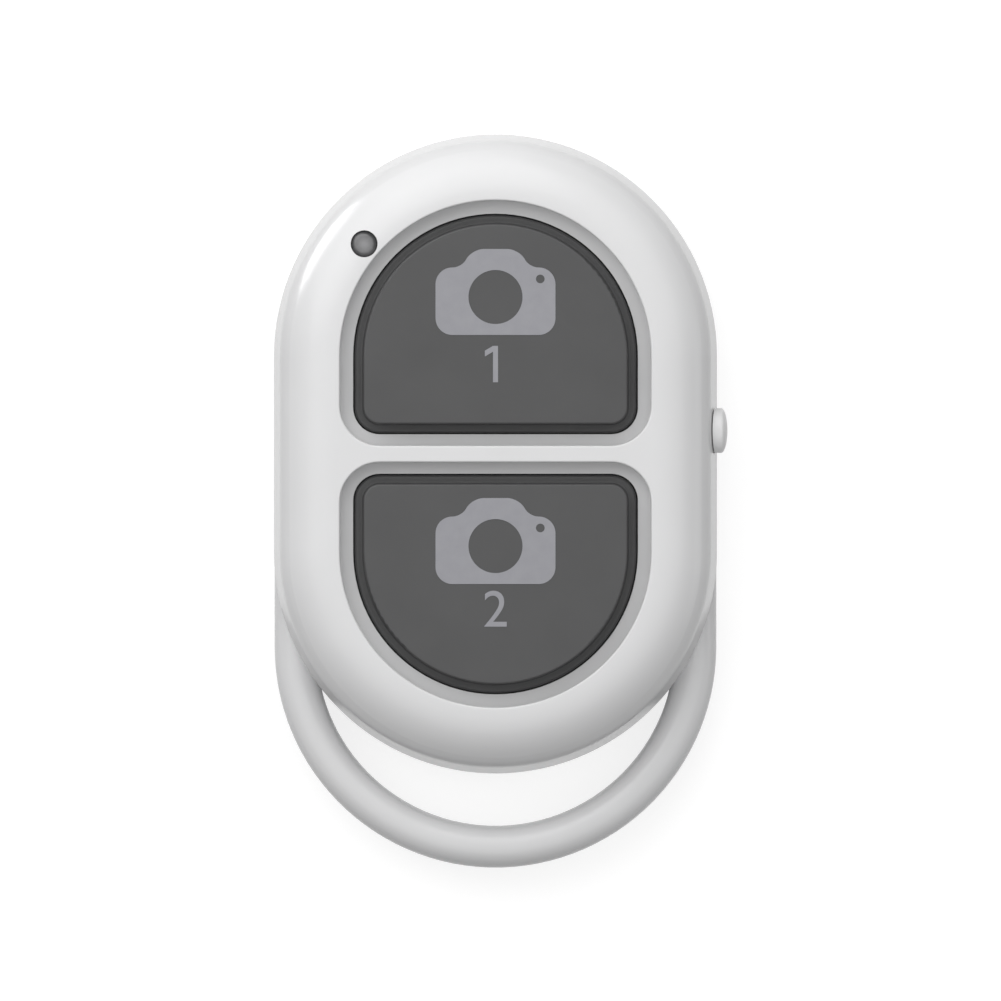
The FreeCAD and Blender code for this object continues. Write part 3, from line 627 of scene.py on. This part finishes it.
bpy.ops.object.mode_set(mode="EDIT")
bpy.ops.mesh.select_all(action="SELECT")
bpy.ops.mesh.bisect(plane_co=(0, flag_low, 0), plane_no=(0, 1, 0))
pick(upper_numeral, "FACE", beside_flag)
bpy.ops.mesh.extrude_region_move(TRANSFORM_OT_translate={"value": flag_run})
bpy.ops.object.mode_set(mode="OBJECT")

# A digit of the font that Blender carries is about 0.7 as tall as the font's size, and stands
# a little above the middle that the text is set on.
bpy.ops.object.select_all(action="DESELECT")
bpy.ops.object.text_add()
lower_numeral = bpy.context.active_object
lower_numeral.name = "lower_numeral"
lower_numeral.data.body = "2"
lower_numeral.data.align_x = "CENTER"
lower_numeral.data.align_y = "CENTER"
lower_numeral.data.size = numeral_height / digit_share
lower_numeral.data.extrude = ink_layer / 2
bpy.ops.object.convert(target="MESH")
lower_numeral.location = (0, lower_numeral_y, ink_middle)
bpy.ops.object.transform_apply(location=True, rotation=True, scale=True)

for piece, body in (
    (upper_mark, "upper_button"),
    (lower_mark, "lower_button"),
    (upper_numeral, "upper_button"),
    (lower_numeral, "lower_button"),
):
    piece.data.materials.clear()
    piece.data.materials.append(pad_ink)
    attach(piece, body)


# Case screws under the battery door: zinc-plated steel with a cross recess in a round head.
# They pass through the back half into bosses of the face.
zinc_steel, tree, shader = new_finish("zinc_steel", (0.60, 0.61, 0.62), roughness=0.3, metallic=1)
stains = grain(tree, size=0.0006, detail=4)
tint(tree, shader, stains, dark=(0.48, 0.49, 0.50), light=(0.66, 0.67, 0.69))
uneven_gloss(tree, shader, grain(tree, size=0.0004, detail=3), low=0.22, high=0.42)
relief(tree, shader, grain(tree, size=0.00008, detail=3), depth=0.000003)
dress(zinc_steel, "case_screws")


# Coin cell in its round well: a can drawn from nickel-plated steel, whose rim is rolled over a
# nylon seal that holds the lid. Its flat side faces the door and has a plus sign etched in it.
plus_reach = 0.0021
plus_stroke = 0.0006
plus_corner = 0.00012
plus_segments = 6
plus_thickness = 0.00001

cell_steel, tree, shader = new_finish("cell_steel", (0.64, 0.63, 0.60), roughness=0.26, metallic=1)
stains = grain(tree, size=0.003, detail=4)
tint(tree, shader, stains, dark=(0.57, 0.56, 0.535), light=(0.68, 0.67, 0.64))
uneven_gloss(tree, shader, grain(tree, size=0.0007, detail=4), low=0.2, high=0.36)
relief(tree, shader, grain(tree, size=0.00004, stretch=(40, 1, 1)), depth=0.0000015)
dress(cell_steel, "battery_can", "battery_cap")

seal_nylon = moulded(
    "seal_nylon",
    dark=(0.26, 0.27, 0.25),
    light=(0.36, 0.37, 0.34),
    roughness=0.5,
    texture=0.0001,
    depth=0.000003,
)
dress(seal_nylon, "battery_seal")

etched_steel, tree, shader = new_finish(
    "etched_steel", (0.26, 0.255, 0.245), roughness=0.55, metallic=1
)
stains = grain(tree, size=0.0004, detail=4)
tint(tree, shader, stains, dark=(0.22, 0.215, 0.205), light=(0.30, 0.295, 0.285))
relief(tree, shader, grain(tree, size=0.00005, detail=3), depth=0.000002)

cell_low, cell_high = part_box("battery_can")
cell_middle = (cell_low + cell_high) / 2
plus_place = (cell_middle.x, cell_middle.y, cell_low.z)
plus = block("cell_plus", plus_stroke, plus_stroke, 2 * plus_thickness, plus_place)


def from_plus_middle(part):
    """How far a face or edge of the plus sign is from the sign's middle, seen from above."""
    place = middle_of(plus, part) - cell_middle
    return math.hypot(place.x, place.y)


def at_arm_root(face):
    """True for the side of the sign's middle block that looks the way of the next arm."""
    return looks(face, way) and from_plus_middle(face) < plus_stroke


def at_arm_end(edge):
    """True for the upright edges at the ends of the arms."""
    return from_plus_middle(edge) > plus_reach / 2 and stands_up(plus, edge)


bpy.ops.object.mode_set(mode="EDIT")
for quarter in range(4):
    turn = quarter * math.pi / 2
    way = Vector((math.cos(turn), math.sin(turn), 0))
    arm = (plus_reach - plus_stroke / 2) * way
    pick(plus, "FACE", at_arm_root)
    bpy.ops.mesh.extrude_region_move(TRANSFORM_OT_translate={"value": arm})
pick(plus, "EDGE", at_arm_end)
bpy.ops.mesh.bevel(offset=plus_corner, segments=plus_segments)
bpy.ops.object.mode_set(mode="OBJECT")
plus.data.materials.append(etched_steel)
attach(plus, "housing")


# Battery door on the underside, moulded in the case's white with five grooves for a finger. It
# slides off over the light end, and two tongues a side hold it in grooves of the back half.
dress(case_white, "battery_door")


# Studio: a white table that shows pure white with the remote's soft shadow on it. A large soft
# lamp stands beyond the light end and a larger one hangs over the table. A low strip at the
# upper left gives only the streak of shine on the shoulder, and a low lamp lifts the right rim.
table_size = 1.1
table_z = -0.00002
table_tone = 0.36
table_glow = 0.78
room_light = 0.14


def backdrop_share(tree):
    """1 for rays of the camera, of mirror reflections and of clear plastic, else 0."""
    path = tree.nodes.new("ShaderNodeLightPath")
    mirrored = reckon(
        tree, "MAXIMUM", path.outputs["Is Glossy Ray"], path.outputs["Is Transmission Ray"]
    )
    return reckon(tree, "MAXIMUM", path.outputs["Is Camera Ray"], mirrored)


def choose(tree, share, without, chosen):
    """The chosen shader where share is 1, the other one where it is 0."""
    choice = tree.nodes.new("ShaderNodeMixShader")
    tree.links.new(share, choice.inputs[0])
    tree.links.new(without, choice.inputs[1])
    tree.links.new(chosen, choice.inputs[2])
    return choice.outputs[0]


bpy.ops.object.select_all(action="DESELECT")
bpy.ops.mesh.primitive_plane_add(size=table_size, location=(0, 0, table_z))
table = bpy.context.active_object
table.name = "table"
table_white = bpy.data.materials.new("table_white")
table_white.use_nodes = True
tree = table_white.node_tree
tree.nodes.clear()
paper = tree.nodes.new("ShaderNodeBsdfDiffuse")
paper.inputs["Color"].default_value = (table_tone, table_tone, table_tone, 1)
glow = tree.nodes.new("ShaderNodeEmission")
glow.inputs["Color"].default_value = (1, 1, 1, 1)
glow.inputs["Strength"].default_value = table_glow
lit = tree.nodes.new("ShaderNodeAddShader")
tree.links.new(paper.outputs[0], lit.inputs[0])
tree.links.new(glow.outputs[0], lit.inputs[1])
# Where the table is seen, it glows up to pure white, and it lights the remote only as paper.
surface = choose(tree, backdrop_share(tree), paper.outputs[0], lit.outputs[0])
output = tree.nodes.new("ShaderNodeOutputMaterial")
tree.links.new(surface, output.inputs["Surface"])
table.data.materials.append(table_white)

world = bpy.data.worlds.new("studio")
bpy.context.scene.world = world
world.use_nodes = True
tree = world.node_tree
tree.nodes.clear()
room = tree.nodes.new("ShaderNodeBackground")
room.inputs["Color"].default_value = (1, 1, 1, 1)
room.inputs["Strength"].default_value = room_light
white = tree.nodes.new("ShaderNodeBackground")
white.inputs["Color"].default_value = (1, 1, 1, 1)
white.inputs["Strength"].default_value = 1
# The room is likewise white where it is seen, and dim as a source of light.
surface = choose(tree, backdrop_share(tree), room.outputs[0], white.outputs[0])
output = tree.nodes.new("ShaderNodeOutputWorld")
tree.links.new(surface, output.inputs["Surface"])


def lamp(name, turn, rise, distance, width, length, power):
    """Oval lamp that faces the remote, turned from +X and risen from the table in degrees."""
    turn = math.radians(turn)
    rise = math.radians(rise)
    flat = distance * math.cos(rise)
    place = (flat * math.cos(turn), flat * math.sin(turn), distance * math.sin(rise))
    facing = (math.pi / 2 - rise, 0, turn + math.pi / 2)
    bpy.ops.object.light_add(type="AREA", location=place, rotation=facing)
    light = bpy.context.active_object
    light.name = name
    light.data.shape = "ELLIPSE"
    light.data.size = width
    light.data.size_y = length
    light.data.energy = power
    light.visible_camera = False
    return light


lamp("key", turn=118, rise=37, distance=0.24, width=0.38, length=0.38, power=0.44)
lamp("overhead", turn=90, rise=77, distance=0.60, width=1.60, length=1.60, power=4.8)
strip = lamp(
    "strip", turn=136.5, rise=7.5, distance=0.0447, width=0.0225, length=0.0115, power=0.0065
)
strip.visible_diffuse = False
lamp("rim", turn=-5, rise=6, distance=0.35, width=0.20, length=0.05, power=0.04)


# Camera straight above the remote, without perspective, framed as the photograph is: the
# picture's side is 71.5 mm of the table.
frame_side = 0.0715
camera_height = 0.4
look_at = (0.000357, 0.000044)

bpy.ops.object.camera_add(location=(*look_at, camera_height), rotation=(0, 0, 0))
camera = bpy.context.active_object
camera.data.type = "ORTHO"
camera.data.ortho_scale = frame_side
bpy.context.scene.camera = camera
bpy.context.scene.view_settings.view_transform = "Standard"
